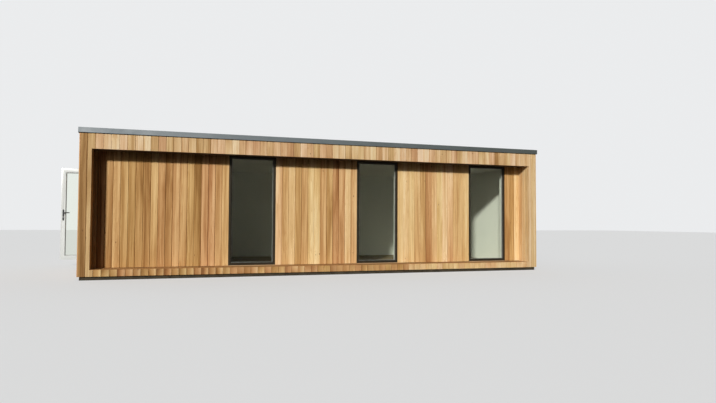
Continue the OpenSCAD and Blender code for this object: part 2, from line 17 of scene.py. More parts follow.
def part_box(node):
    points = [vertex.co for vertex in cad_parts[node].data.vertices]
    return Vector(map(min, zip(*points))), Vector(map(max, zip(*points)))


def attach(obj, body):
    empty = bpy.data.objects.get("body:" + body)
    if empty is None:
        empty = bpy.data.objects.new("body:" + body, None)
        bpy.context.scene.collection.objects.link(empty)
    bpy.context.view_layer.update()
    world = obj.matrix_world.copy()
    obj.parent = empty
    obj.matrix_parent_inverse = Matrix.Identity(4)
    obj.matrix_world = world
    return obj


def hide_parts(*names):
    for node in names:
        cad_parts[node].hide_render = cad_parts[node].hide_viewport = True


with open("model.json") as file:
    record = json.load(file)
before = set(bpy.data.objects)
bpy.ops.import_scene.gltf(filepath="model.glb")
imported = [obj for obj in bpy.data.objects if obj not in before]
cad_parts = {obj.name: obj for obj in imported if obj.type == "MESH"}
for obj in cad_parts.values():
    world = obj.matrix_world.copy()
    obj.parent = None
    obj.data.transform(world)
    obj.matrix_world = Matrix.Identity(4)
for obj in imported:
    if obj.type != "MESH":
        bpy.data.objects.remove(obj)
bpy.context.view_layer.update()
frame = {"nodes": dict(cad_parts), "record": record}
print("solids in the frame:", len(frame["nodes"]))

# %% [markdown]
# The camera comes first, because every comparison with the photograph depends on it.
# A camera can be placed by eye, or worked out from corners whose real places are known.
# The second way was used: the numbers below come from fitting the corners and the long edges
# of the pod, so the two pictures can be laid over each other.

# %% Camera
PHOTO_WIDTH = 716
FOCAL_PIXELS = 580.9
SENSOR = 36.0
CAMERA_PLACE = Vector((-2.962, -12.417, 0.958))
YAW, PITCH, ROLL = (math.radians(a) for a in (18.13, 2.11, 0.28))


def camera_turn(yaw, pitch, roll):
    """The camera's turn, from a look along +Y that is turned right, tipped up and rolled."""
    side = Vector((math.cos(yaw), -math.sin(yaw), 0))
    ahead = Vector((math.sin(yaw), math.cos(yaw), 0))
    look = ahead * math.cos(pitch) + Vector((0, 0, math.sin(pitch)))
    up = side.cross(look)
    right_edge = side * math.cos(roll) + up * math.sin(roll)
    top_edge = up * math.cos(roll) - side * math.sin(roll)
    return Matrix((right_edge, top_edge, -look)).transposed().to_4x4()


camera_data = bpy.data.cameras.new("camera")
camera_data.sensor_width = SENSOR
camera_data.lens = FOCAL_PIXELS * SENSOR / PHOTO_WIDTH
camera_data.clip_end = 200
camera = bpy.data.objects.new("camera", camera_data)
camera.matrix_world = Matrix.Translation(CAMERA_PLACE) @ camera_turn(YAW, PITCH, ROLL)
bpy.context.scene.collection.objects.link(camera)
bpy.context.scene.camera = camera
print("lens in millimetres:", round(camera_data.lens, 2))

# %% [markdown]
# A material is a small tree of nodes, and so is the world. These helpers keep each tree to a
# few lines: one adds a node with its settings and what goes into it, two start a material
# and a node group, and the others do sums, mixes, ranges, noise and bump, or tell rays apart.
# Sums, mixes, ranges and noise come back as sockets, ready to go into the next node. An
# effect that several materials share is a node group, made once.

# %% Helpers for materials


def node(tree, kind, inputs=None, **settings):
    """Adds a node with its settings. Each input is given a value, or the socket that feeds it."""
    made = tree.nodes.new(kind)
    for key, value in settings.items():
        setattr(made, key, value)
    for key, value in (inputs or {}).items():
        if isinstance(value, bpy.types.NodeSocket):
            tree.links.new(value, made.inputs[key])
        else:
            made.inputs[key].default_value = value
    return made


def feed(tree, receiver, **sockets):
    """Links sockets to the inputs of a node that is there already."""
    for name, socket in sockets.items():
        tree.links.new(socket, receiver.inputs[name.replace("_", " ")])


def material(name, **shader_values):
    """Starts a material and returns it with its tree and its Principled shader."""
    made = bpy.data.materials.new(name)
    made.use_nodes = True
    shader = made.node_tree.nodes["Principled BSDF"]
    for key, value in shader_values.items():
        shader.inputs[key.replace("_", " ")].default_value = value
    return made, made.node_tree, shader


def group(name, takes, gives):
    """Starts a node group with named inputs and outputs, and returns it with both ends."""
    made = bpy.data.node_groups.new(name, "ShaderNodeTree")
    for label, kind, start in takes:
        socket = made.interface.new_socket(name=label, in_out="INPUT", socket_type=kind)
        if start is not None:
            socket.default_value = start
    for label, kind in gives:
        made.interface.new_socket(name=label, in_out="OUTPUT", socket_type=kind)
    return made, made.nodes.new("NodeGroupInput"), made.nodes.new("NodeGroupOutput")


def math_node(tree, operation, first, second, clamp=False):
    """One sum with two values, each a socket or a number."""
    return node(tree, "ShaderNodeMath", {0: first, 1: second}, operation=operation,
                use_clamp=clamp).outputs[0]


def blend_colours(tree, factor, first, second, how="MIX"):
    """Mixes two colours by a factor. Each of the three is a socket or a value."""
    return node(tree, "ShaderNodeMix", {0: factor, 6: first, 7: second}, data_type="RGBA",
                blend_type=how).outputs[2]


def blend_shaders(tree, factor, first, second):
    """Mixes two shaders by a factor, which is a socket or a number."""
    return node(tree, "ShaderNodeMixShader", {0: factor, 1: first, 2: second}).outputs[0]


def remap(tree, value, low, high, new_low, new_high):
    """Takes one range of a value to another, clamped at both ends."""
    return node(tree, "ShaderNodeMapRange",
                {0: value, 1: low, 2: high, 3: new_low, 4: new_high}).outputs[0]


def noise(tree, place, scale, detail=4.0, roughness=0.55, stretch=None, distortion=0.0):
    """A noise texture at a place, if need be stretched along an axis."""
    if stretch:
        place = node(tree, "ShaderNodeMapping", {"Vector": place, "Scale": stretch}).outputs[0]
    return node(tree, "ShaderNodeTexNoise",
                {"Vector": place, "Scale": scale, "Detail": detail, "Roughness": roughness,
                 "Distortion": distortion}).outputs["Fac"]


def bump(tree, shader, height, strength, distance):
    """Feeds a height through a Bump node to a shader's normal."""
    made = node(tree, "ShaderNodeBump",
                {"Height": height, "Strength": strength, "Distance": distance})
    feed(tree, shader, Normal=made.outputs[0])


def ray_is(tree, *kinds):
    """One for a ray of any of these kinds, and zero for the others."""
    ray = node(tree, "ShaderNodeLightPath")
    found = 0.0
    for kind in kinds:
        found = math_node(tree, "MAXIMUM", found, ray.outputs[f"Is {kind} Ray"])
    return found


print("material helpers are ready")

# %% [markdown]
# The light is plain. One lamp stands for a low sun at the front left, so the canopy and the
# left cheek cast the shadows that show how deep the front frame is. A larger lamp would soften
# those shadows all over. The world has a dim halo round the lamp instead, which softens only
# their edges, and a fill that comes mostly from behind and the right, so the back and the
# right end stay easy to read while the recess keeps its shade. The backdrop is pale for the
# camera, and for what glass and metal show of it, and that leaves the light on the boards
# as it is.

# %% Light and world
SUN_RAY = Vector((0.60, 1.0, -0.475))
SUN_POWER = 3.35
SUN_WIDTH = math.radians(4)
SUN_COLOUR = (1.0, 0.975, 0.93)
HALO_POWER = 3.0
HALO_WIDTH = math.radians(22)
HALO_COLOUR = (1.0, 0.95, 0.86, 1)
FILL_FROM = (0.20, 0.98, 0.0)
FILL_IN_FRONT = 0.008
FILL_BEHIND = 0.75
FILL_EDGES = (-0.25, 0.60)
FILL_COLOUR = (0.92, 0.96, 1.0, 1)
BACKDROP = (0.83, 0.84, 0.85, 1)
SEEN = ("Camera", "Glossy", "Transmission")  # rays that show a thing to the camera

sun_data = bpy.data.lights.new("sun", "SUN")
sun_data.energy = SUN_POWER
sun_data.angle = SUN_WIDTH
sun_data.color = SUN_COLOUR
sun_data.cycles.use_multiple_importance_sampling = False
sun = bpy.data.objects.new("sun", sun_data)
sun.rotation_euler = SUN_RAY.to_track_quat("-Z", "Y").to_euler()
bpy.context.scene.collection.objects.link(sun)


def light_from(tree, direction, toward, colour, edges, powers):
    """A background that gets stronger towards a direction."""
    near = node(tree, "ShaderNodeVectorMath", {0: direction, 1: toward}, operation="DOT_PRODUCT")
    strength = remap(tree, near.outputs["Value"], *edges, *powers)
    return node(tree, "ShaderNodeBackground", {"Color": colour, "Strength": strength}).outputs[0]


world = bpy.data.worlds.new("studio")
bpy.context.scene.world = world
world.use_nodes = True
tree = world.node_tree
tree.nodes.clear()
direction = node(tree, "ShaderNodeTexCoord").outputs["Generated"]
fill = light_from(tree, direction, FILL_FROM, FILL_COLOUR, FILL_EDGES,
                  (FILL_IN_FRONT, FILL_BEHIND))
halo = light_from(tree, direction, -SUN_RAY.normalized(), HALO_COLOUR,
                  (math.cos(HALO_WIDTH), 1.0), (0.0, HALO_POWER))
both = node(tree, "ShaderNodeAddShader", {0: fill, 1: halo}).outputs[0]
backdrop = node(tree, "ShaderNodeBackground", {"Color": BACKDROP}).outputs[0]
node(tree, "ShaderNodeOutputWorld",
     {"Surface": blend_shaders(tree, ray_is(tree, *SEEN), both, backdrop)})
bpy.context.scene.view_settings.view_transform = "Standard"
print("sun power", SUN_POWER, "and fill", FILL_IN_FRONT, "to", FILL_BEHIND)

# %% [markdown]
# Blender's operators act on all that is selected, and the frame's solids are selected after
# loading. So every modelling step starts by letting go of everything, or by picking just
# the pieces that it works on. Most pieces start as a cube of the right size, take modifiers
# that are applied at once, and are cut by a second cube.

# %% Helpers for modelling


def let_go():
    """Deselects everything, because an operator acts on all that is selected."""
    if bpy.context.object and bpy.context.object.mode != "OBJECT":
        bpy.ops.object.mode_set(mode="OBJECT")
    bpy.ops.object.select_all(action="DESELECT")


def pick(*pieces):
    """Selects just these pieces, and makes the first one active."""
    let_go()
    for piece in pieces:
        piece.select_set(True)
    bpy.context.view_layer.objects.active = pieces[0]


def cube(centre, size):
    """A cube that is stretched to a size, with its place in its mesh."""
    let_go()
    bpy.ops.mesh.primitive_cube_add(size=1, location=centre)
    made = bpy.context.object
    made.scale = size
    bpy.ops.object.transform_apply(location=True, rotation=True, scale=True)
    return made


def finish_with(piece, kind, **settings):
    """Adds a modifier to a piece, and applies it."""
    modifier = piece.modifiers.new(kind.lower(), kind)
    for key, value in settings.items():
        setattr(modifier, key, value)
    pick(piece)
    bpy.ops.object.modifier_apply(modifier=modifier.name)


def combine(piece, centre, size, operation="DIFFERENCE"):
    """Cuts a box out of a piece, or with UNION adds one to it."""
    other = cube(centre, size)
    finish_with(piece, "BOOLEAN", object=other, operation=operation, solver="EXACT")
    bpy.data.objects.remove(other)


def join(pieces):
    """Joins pieces into the first of them."""
    pick(*pieces)
    bpy.ops.object.join()
    return pieces[0]


print("modelling helpers are ready")

# %% [markdown]
# A plain studio floor lies at ground level. It is pale to look at and keeps the pod's
# shadow. For the light that it throws back it is much darker, because a bright floor would
# lift the shade out of the recess.

# %% Floor
FLOOR_SIZE = 120
FLOOR_PAINT = (0.80, 0.80, 0.80, 1)
FLOOR_GLOW = (0.78, 0.79, 0.80, 1)
GLOW_SHARE = 0.55
FLOOR_FOR_LIGHT = (0.020, 0.020, 0.018, 1)

let_go()
bpy.ops.mesh.primitive_plane_add(size=FLOOR_SIZE, location=(0, 0, 0))
floor = bpy.context.object
floor.name = "studio_floor"

floor_paint = bpy.data.materials.new("studio floor")
floor_paint.use_nodes = True
tree = floor_paint.node_tree
tree.nodes.clear()
pale = node(tree, "ShaderNodeBsdfDiffuse", {"Color": FLOOR_PAINT}).outputs[0]
glow = node(tree, "ShaderNodeEmission", {"Color": FLOOR_GLOW}).outputs[0]
dark = node(tree, "ShaderNodeBsdfDiffuse", {"Color": FLOOR_FOR_LIGHT}).outputs[0]
node(tree, "ShaderNodeOutputMaterial",
     {"Surface": blend_shaders(tree, ray_is(tree, *SEEN), dark,
                               blend_shaders(tree, GLOW_SHARE, pale, glow))})
floor.data.materials.append(floor_paint)
print("floor size:", tuple(floor.dimensions[:2]))

# %% [markdown]
# Western red cedar is the finish that makes this building. Every board has its own colour,
# from pale cream through honey to red brown, broad streaks of heartwood and sapwood run up
# it, and the grain is fine and straight with a pointed arch here and there. A photograph of
# wood would be quick, but it repeats. Here the grain is made from noise that is stretched
# along the board. Each board carries three values of its own: "grain", the place on the
# board measured from its own corner with a chance shift, "tone", where its colour lies
# between dark and pale, and "hue", whether it leans to red or to yellow.

# %% Cedar grain as a node group
CEDAR_TONES = (
    (0.00, (0.250, 0.114, 0.034, 1)),
    (0.20, (0.400, 0.208, 0.074, 1)),
    (0.42, (0.535, 0.310, 0.130, 1)),
    (0.62, (0.655, 0.420, 0.195, 1)),
    (0.82, (0.755, 0.530, 0.275, 1)),
    (1.00, (0.810, 0.620, 0.360, 1)),
)
RING_SHADE = (0.74, 0.58, 0.45, 1)
KNOT_COLOUR = (0.150, 0.060, 0.024, 1)
DIRT_COLOUR = (0.20, 0.13, 0.075, 1)


def make_cedar_group():
    made, start, end = group(
        "cedar grain",
        [("Place", "NodeSocketVector", None), ("Tone", "NodeSocketFloat", 0.5),
         ("Hue", "NodeSocketFloat", 0.5), ("Streaks", "NodeSocketFloat", 1.0),
         ("Dirt", "NodeSocketFloat", 0.0)],
        [("Color", "NodeSocketColor"), ("Roughness", "NodeSocketFloat"),
         ("Height", "NodeSocketFloat")])
    place = start.outputs["Place"]
    # Broad streaks of heartwood and sapwood move the tone up and down
    narrow = noise(made, place, 1.0, 3.0, 0.6, stretch=(30, 30, 0.60), distortion=0.6)
    wide = noise(made, place, 1.0, 2.0, 0.5, stretch=(9, 9, 0.60), distortion=0.8)
    streak = math_node(made, "ADD", math_node(made, "MULTIPLY", narrow, 0.5),
                       math_node(made, "MULTIPLY", wide, 0.5))
    tone_shift = math_node(made, "MULTIPLY", math_node(made, "SUBTRACT", streak, 0.5),
                           start.outputs["Streaks"])
    tone = math_node(made, "ADD", start.outputs["Tone"], tone_shift, clamp=True)
    ramp = node(made, "ShaderNodeValToRGB", {"Fac": tone})
    for index, (position, colour) in enumerate(CEDAR_TONES):
        stop = (ramp.color_ramp.elements[index] if index < 2
                else ramp.color_ramp.elements.new(position))
        stop.position = position
        stop.color = colour
    tinted = node(made, "ShaderNodeHueSaturation",
                  {"Hue": remap(made, start.outputs["Hue"], 0.0, 1.0, 0.492, 0.5095),
                   "Color": ramp.outputs["Color"]})
    # Small knots, few and far between, in long cells
    knot_place = node(made, "ShaderNodeMapping", {"Vector": place, "Scale": (6.5, 6.5, 3.0)})
    cells = node(made, "ShaderNodeTexVoronoi",
                 {"Vector": knot_place.outputs[0], "Scale": 1.0, "Randomness": 1.0})
    knot = remap(made, cells.outputs["Distance"], 0.030, 0.065, 0.85, 0.0)
    # Year rings are the contour lines of a long soft noise, and they swell round each knot
    figure = noise(made, place, 1.0, 2.0, 0.35, stretch=(8.5, 8.5, 0.17))
    swell = math_node(made, "POWER", remap(made, cells.outputs["Distance"], 0.0, 0.30, 0.30, 0.0),
                      2.0)
    contour = math_node(made, "MULTIPLY", math_node(made, "ADD", figure, swell), 42.0)
    ring = math_node(made, "POWER", math_node(made, "FRACT", contour, 0.0), 2.5)
    ringed = blend_colours(made, math_node(made, "MULTIPLY", ring, 0.55),
                           tinted.outputs["Color"], RING_SHADE, "MULTIPLY")
    # Fine fibres and soft bands run straight up the board
    fibre = noise(made, place, 1.0, 5.0, 0.7, stretch=(460, 460, 8.0))
    band = noise(made, place, 1.0, 2.0, 0.5, stretch=(60, 60, 1.1), distortion=1.2)
    lines = math_node(made, "MULTIPLY", remap(made, fibre, 0.28, 0.62, 0.84, 1.07),
                      remap(made, band, 0.32, 0.68, 0.92, 1.06))
    shade = node(made, "ShaderNodeCombineColor",
                 {channel: math_node(made, "POWER", lines, power)
                  for channel, power in enumerate((0.75, 1.0, 1.2))})
    grained = blend_colours(made, 1.0, ringed, shade.outputs["Color"], "MULTIPLY")
    knotted = blend_colours(made, knot, grained, KNOT_COLOUR)
    grime = noise(made, place, 5.0, 5.0, 0.6, stretch=(1, 1, 0.35))
    grime_mask = math_node(made, "MULTIPLY", remap(made, grime, 0.40, 0.75, 0.0, 1.0),
                           start.outputs["Dirt"])
    dirtied = blend_colours(made, grime_mask, knotted, DIRT_COLOUR)
    height = math_node(made, "ADD", math_node(made, "MULTIPLY", fibre, 0.6),
                       math_node(made, "MULTIPLY", ring, 0.4))
    feed(made, end, Color=dirtied, Roughness=remap(made, fibre, 0.3, 0.7, 0.68, 0.54),
         Height=height)
    return made


cedar_grain = make_cedar_group()
print("nodes in the cedar group:", len(cedar_grain.nodes))

# %% [markdown]
# Paint, plastic, rubber and plain timber share a quieter effect: two near colours mixed in
# soft patches, with a fine grain on top. One group with a scale and two colours serves all
# of them, and each material gives it its own values.

# %% Soft mottling as a node group


def make_mottle_group():
    made, start, end = group(
        "soft mottling",
        [("Place", "NodeSocketVector", None), ("First", "NodeSocketColor", (0.5, 0.5, 0.5, 1)),
         ("Second", "NodeSocketColor", (0.4, 0.4, 0.4, 1)), ("Scale", "NodeSocketFloat", 3.0),
         ("Grain", "NodeSocketFloat", 200.0), ("Smooth", "NodeSocketFloat", 0.4),
         ("Rough", "NodeSocketFloat", 0.6)],
        [("Color", "NodeSocketColor"), ("Roughness", "NodeSocketFloat"),
         ("Height", "NodeSocketFloat")])
    place = start.outputs["Place"]
    patches = noise(made, place, start.outputs["Scale"], 5.0, 0.6)
    grains = noise(made, place, start.outputs["Grain"], 2.0, 0.5)
    patch = remap(made, patches, 0.35, 0.68, 0.0, 1.0)
    spread = math_node(made, "SUBTRACT", start.outputs["Rough"], start.outputs["Smooth"])
    feed(made, end,
         Color=blend_colours(made, patch, start.outputs["First"], start.outputs["Second"]),
         Roughness=math_node(made, "ADD", start.outputs["Smooth"],
                             math_node(made, "MULTIPLY", patch, spread)),
         Height=math_node(made, "ADD", math_node(made, "MULTIPLY", patches, 0.6),
                          math_node(made, "MULTIPLY", grains, 0.4)))
    return made


mottle = make_mottle_group()


def mottled(name, first, second, scale, grain, smooth, rough, relief, **shader_values):
    """A material from the mottling group, on the object's own coordinates. After its two
    colours come how fine its patches and its grain are, its roughness where it is smooth and
    where it is rough, and its relief in metres."""
    made, tree, shader = material(name, **shader_values)
    place = node(tree, "ShaderNodeTexCoord").outputs["Object"]
    effect = node(tree, "ShaderNodeGroup",
                  {"Place": place, "First": (*first, 1), "Second": (*second, 1), "Scale": scale,
                   "Grain": grain, "Smooth": smooth, "Rough": rough}, node_tree=mottle)
    feed(tree, shader, Base_Color=effect.outputs["Color"], Roughness=effect.outputs["Roughness"])
    bump(tree, shader, effect.outputs["Height"], 0.5, relief)
    return made


print("mottling group is ready")

# %% [markdown]
# With both groups made, each finish is one call. The colours are those of the real materials in
# plain light: near-black frames, white plastic, grey painted trim, dark rubber on the roof, pale
# strand board and softwood inside the walls. Only the timber of the bearers under the ledge is
# darker than its stain, as painted shade.

# %% Plain finishes
finishes = {
    "dark_frame": mottled("dark frame paint", (0.024, 0.019, 0.012), (0.032, 0.026, 0.017),
                          6, 900, 0.42, 0.55, 0.0002, Specular_IOR_Level=0.12),
    "white_plastic": mottled("white plastic", (0.665, 0.700, 0.705), (0.630, 0.665, 0.670),
                             4, 700, 0.22, 0.30, 0.0001),
    "white_lining": mottled("white lining paint", (0.90, 0.92, 0.90), (0.87, 0.89, 0.87),
                            1.5, 160, 0.60, 0.75, 0.0004, Specular_IOR_Level=0.2),
    "grey_trim": mottled("grey trim paint", (0.182, 0.212, 0.234), (0.140, 0.167, 0.188),
                         2.2, 400, 0.40, 0.55, 0.0004, Specular_IOR_Level=0.30),
    "roof_rubber": mottled("roof rubber", (0.030, 0.032, 0.034), (0.062, 0.063, 0.062),
                           1.1, 240, 0.62, 0.85, 0.0012, Specular_IOR_Level=0.25),
    "rainwater_plastic": mottled("rainwater plastic", (0.030, 0.033, 0.037),
                                 (0.040, 0.043, 0.047), 5, 600, 0.34, 0.46, 0.0001),
    "timber": mottled("planed softwood", (0.56, 0.40, 0.23), (0.46, 0.31, 0.17),
                      3, 220, 0.60, 0.75, 0.0006, Specular_IOR_Level=0.15),
    # The bearers' timber is dark stained, and darker still as painted shade in the gap under the
    # ledge.
    "treated_timber": mottled("treated timber", (0.070, 0.058, 0.040), (0.040, 0.034, 0.025),
                              6, 200, 0.75, 0.90, 0.0015, Specular_IOR_Level=0.05),
    "deck_board": mottled("deck board", (0.40, 0.30, 0.19), (0.30, 0.21, 0.13),
                          24, 120, 0.70, 0.85, 0.0010, Specular_IOR_Level=0.1),
    "wall_panel": mottled("strand board", (0.55, 0.41, 0.24), (0.38, 0.25, 0.13),
                          38, 150, 0.65, 0.80, 0.0010, Specular_IOR_Level=0.1),
    "sill_metal": mottled("sill metal", (0.52, 0.53, 0.53), (0.44, 0.45, 0.45),
                          9, 500, 0.30, 0.42, 0.0002, Metallic=0.85),
    "black_handle": mottled("black handle coat", (0.014, 0.014, 0.015), (0.020, 0.020, 0.021),
                            14, 900, 0.26, 0.36, 0.0001, Metallic=0.4),
    "white_metal": mottled("white hinge paint", (0.78, 0.78, 0.77), (0.72, 0.72, 0.71),
                           12, 700, 0.28, 0.38, 0.0001),
    "gasket": mottled("black gasket", (0.012, 0.012, 0.012), (0.020, 0.020, 0.020),
                      20, 800, 0.55, 0.70, 0.0002),
    "spacer": mottled("spacer bar", (0.66, 0.67, 0.66), (0.58, 0.59, 0.58),
                      18, 900, 0.35, 0.45, 0.0001, Metallic=0.3),
    "steel": mottled("bright steel", (0.60, 0.60, 0.60), (0.50, 0.50, 0.50),
                     30, 700, 0.24, 0.38, 0.0001, Metallic=1.0),
}
print("plain finishes:", len(finishes))

# %% [markdown]
# The roof trim carries a painted reflection and painted shade: its paint is bright at the left and
# is darkened step by step towards the right. A real reflection would change with the view, so the
# change is painted as a soft change of colour along the object's own X, which stays where it is.

# %% Painted shade along the trim


def paint_shade_along(made, from_x, to_x, shade):
    """Paints shade on a material step by step along X, down to a darker colour at the far end."""
    tree = made.node_tree
    shader = tree.nodes["Principled BSDF"]
    paint = shader.inputs["Base Color"].links[0].from_socket
    place = node(tree, "ShaderNodeTexCoord").outputs["Object"]
    split = node(tree, "ShaderNodeSeparateXYZ", {0: place})
    amount = remap(tree, split.outputs["X"], from_x, to_x, 0.0, 1.0)
    feed(tree, shader, Base_Color=blend_colours(tree, amount, paint, shade))


TRIM_PAINTED_SHADE = (0.042, 0.050, 0.040, 1)
PAST_THE_END = 1.5
trim_low, trim_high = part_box("roof_trim")
paint_shade_along(finishes["grey_trim"], trim_low.x, trim_high.x + PAST_THE_END, TRIM_PAINTED_SHADE)
print("trim tone runs from", round(trim_low.x, 2), "to", round(trim_high.x, 2))

# %% [markdown]
# The glass is clear with a faint green grey. Glass is a shader that lets light through, and
# a renderer's shadow rays stop at it, so the room behind would stay black. For the rays that
# carry light, not the view, a see-through shader takes its place, with the square root of the
# tint, because each pane is crossed twice. The index is set low: the pale studio would
# otherwise lie as a veil over the dark room that the photograph shows.

# %% Glass
GLASS_TINT = (0.980, 0.997, 0.955)
GLASS_INDEX = 1.10


def make_glass():
    made, tree, shader = material("pane glass", Base_Color=(*GLASS_TINT, 1), Roughness=0.0,
                                  Metallic=0.0, Transmission_Weight=1.0, IOR=GLASS_INDEX)
    place = node(tree, "ShaderNodeTexCoord").outputs["Object"]
    bump(tree, shader, noise(tree, place, 1.4, 2.0), 0.15, 0.0008)
    once = (*(math.sqrt(part) for part in GLASS_TINT), 1)
    clear = node(tree, "ShaderNodeBsdfTransparent", {"Color": once})
    feed(tree, tree.nodes["Material Output"],
         Surface=blend_shaders(tree, ray_is(tree, "Shadow", "Diffuse"), shader.outputs[0],
                               clear.outputs[0]))
    return made


finishes["glass"] = make_glass()
print("glass index:", GLASS_INDEX)

# %% [markdown]
# The cedar material reads the three values that each board carries. Whole surfaces differ too, so
# the material comes from a function that also takes how strong the streaks are, how much dirt lies
# on the wood, and a stain that multiplies its colour, which on some surfaces is painted shade. Rain
# splashes the ledge, so it is dirtier. The fascia and the cheeks stand in the weather and have
# paled a little. The soffit's dark stain is painted shade. The floor inside is grey brown, and its
# stain keeps it dark as painted shade for the dim room.

# %% Cedar materials


def cedar(name, streaks=1.75, dirt=0.0, stain_and_shade=None):
    made, tree, shader = material(name, Roughness=0.6, Specular_IOR_Level=0.12)
    own = {label: node(tree, "ShaderNodeAttribute", attribute_name=label).outputs
           for label in ("grain", "tone", "hue")}
    effect = node(tree, "ShaderNodeGroup",
                  {"Place": own["grain"]["Vector"], "Tone": own["tone"]["Fac"],
                   "Hue": own["hue"]["Fac"], "Streaks": streaks, "Dirt": dirt},
                  node_tree=cedar_grain)
    colour = effect.outputs["Color"]
    if stain_and_shade:
        colour = blend_colours(tree, 1.0, colour, (*stain_and_shade, 1), "MULTIPLY")
    feed(tree, shader, Base_Color=colour, Roughness=effect.outputs["Roughness"])
    bump(tree, shader, effect.outputs["Height"], 0.35, 0.0006)
    return made


finishes["cedar"] = cedar("cedar boards")
finishes["cedar_ledge"] = cedar("cedar ledge boards", 0.45, 0.30)
finishes["cedar_fascia"] = cedar("cedar fascia boards", stain_and_shade=(0.93, 0.97, 1.12))
finishes["cedar_soffit"] = cedar("cedar soffit boards with painted shade", stain_and_shade=(0.32, 0.40, 0.70))
finishes["floor_board"] = cedar("floor boards darkened as painted shade", stain_and_shade=(0.80, 1.30, 2.50))
print("cedar is ready")

# %% [markdown]
# The boards are machined with a tongue and groove and a V where two faces meet, and they
# are nailed through the tongue, so no nail shows. One board is modelled from a cube: it is
# set to size and its two long front edges are bevelled, which makes half of each V. An
# array repeats it at the board pitch. The last board of a wall is ripped to the width that
# is left, as a carpenter does. The hidden tongue is left out. No two boards are alike: each
# V differs a little in width, each face lies a hair further in or out, and the tone leans
# from one edge to the other and fades along the board, as sapwood and heartwood do.

# %% One run of boards
PITCH = 0.1216  # from one joint to the next
JOINT = 0.0016
V_DEPTH = 0.0050
PROUD = 0.0016  # the most that a face lies behind the foremost one
ARRIS = 0.0030  # the most that half a V is wider than the narrowest one
LEAN = 0.14  # how the change of tone across a board spreads
FADE = 0.10  # how the change of tone along a board spreads
JOINT_SHADE = 0.45  # the most that the tone falls in a V
JOINT_GLEAM = 0.10  # the most that it rises there
GRAIN_FIELD = 40  # each board's grain is cut from a block of noise of this size
PALEST, DARKEST = 0.90, 0.08
SMALLEST_RIP = 0.25  # part of a board, under which the boards share the width evenly
chance = random.Random(20)


def board(width, thickness, length):
    """One upright board with its left back foot corner at the origin and its face at -Y."""
    made = cube((width / 2, -thickness / 2, length / 2), (width - JOINT, thickness, length))
    bpy.ops.object.mode_set(mode="EDIT")
    bpy.ops.mesh.select_mode(type="EDGE")
    bpy.ops.mesh.select_all(action="DESELECT")
    shape = bmesh.from_edit_mesh(made.data)
    for edge in shape.edges:
        low, high = sorted(v.co.z for v in edge.verts)
        in_front = all(v.co.y < -thickness / 2 for v in edge.verts)
        edge.select = in_front and high - low > length / 2
    bmesh.update_edit_mesh(made.data)
    bpy.ops.mesh.bevel(offset=V_DEPTH, offset_type="OFFSET", segments=1)
    bpy.ops.object.mode_set(mode="OBJECT")
    return made


def mark_boards(piece, count, step, tones, spread, shade_lean=0.0):
    """Gives each board of a row its grain, its hue, its width of V, a hair of unevenness, and its
    tone. The mean tone runs from the first of two to the second along the row. Within a board the
    tone leans from its left edge to its right one, at random and by the shade lean, which is
    painted shade at the left edge. In the V the tone falls as painted shade, and at a board's left
    edge it may rise instead as a painted highlight."""
    mesh = piece.data
    per_board = len(mesh.vertices) // count
    face_y = min(point.co.y for point in mesh.vertices)
    length = max(point.co.z for point in mesh.vertices)
    grain, tone_values, hues = [], [], []
    for number in range(count):
        mean = tones[0] + (tones[1] - tones[0]) * number / max(1, count - 1)
        own_tone = min(PALEST, max(DARKEST, chance.gauss(mean, spread)))
        own_lean = chance.gauss(shade_lean, LEAN)
        own_fade = chance.gauss(0, FADE)
        # Painted shade in each V, and now and then a painted highlight in the V at a board's left
        # edge
        shades = (chance.uniform(-JOINT_GLEAM, JOINT_SHADE), chance.uniform(0.0, JOINT_SHADE))
        shift = Vector([chance.uniform(0, GRAIN_FIELD) for axis in range(3)])
        proud = chance.uniform(0, PROUD)
        arris = (chance.uniform(0, ARRIS), chance.uniform(0, ARRIS))
        own_hue = chance.random()
        for point in mesh.vertices[number * per_board:(number + 1) * per_board]:
            across = (point.co.x - number * step) / step
            on_face = point.co.y < face_y + V_DEPTH / 2
            grain.extend(point.co - Vector((number * step, 0, 0)) + shift)
            tone_values.append(own_tone + own_lean * (across - 0.5)
                               + own_fade * (point.co.z / length - 0.5)
                               - (0 if on_face else shades[across > 0.5]))
            hues.append(own_hue)
            if on_face:
                point.co.x += arris[0] if across < 0.5 else -arris[1]
            if point.co.y < face_y / 2:
                point.co.y += proud
    for label, kind, field, values in (("grain", "FLOAT_VECTOR", "vector", grain),
                                       ("tone", "FLOAT", "value", tone_values),
                                       ("hue", "FLOAT", "value", hues)):
        mesh.attributes.new(label, kind, "POINT")
        mesh.attributes[label].data.foreach_set(field, values)


def board_row(width, thickness, length, tones=(0.52, 0.52), spread=0.15, pitch=PITCH, rip=True,
              shade_lean=0.0):
    """A row of boards from X 0 to width. What is left over at the end is a ripped board, or
    without rip the boards share the width evenly."""
    count = max(1, int(width / pitch + 0.001) if rip else round(width / pitch))
    left = width - count * pitch
    if not rip or left < SMALLEST_RIP * pitch:
        pitch = width / count
        left = 0
    row = board(pitch, thickness, length)
    finish_with(row, "ARRAY", count=count, use_relative_offset=False,
                use_constant_offset=True, constant_offset_displace=(pitch, 0, 0))
    mark_boards(row, count, pitch, tones, spread, shade_lean)
    if left:
        last = board(left, thickness, length)
        mark_boards(last, 1, left, tones, spread, shade_lean)
        last.data.transform(Matrix.Translation((count * pitch, 0, 0)))
        row = join([row, last])
    return row


def mirror(piece, width):
    """Turns a row round left to right, so what was ripped at its right end is at its left."""
    piece.data.transform(Matrix.Translation((width, 0, 0)) @ Matrix.Scale(-1, 4, (1, 0, 0)))
    piece.data.flip_normals()


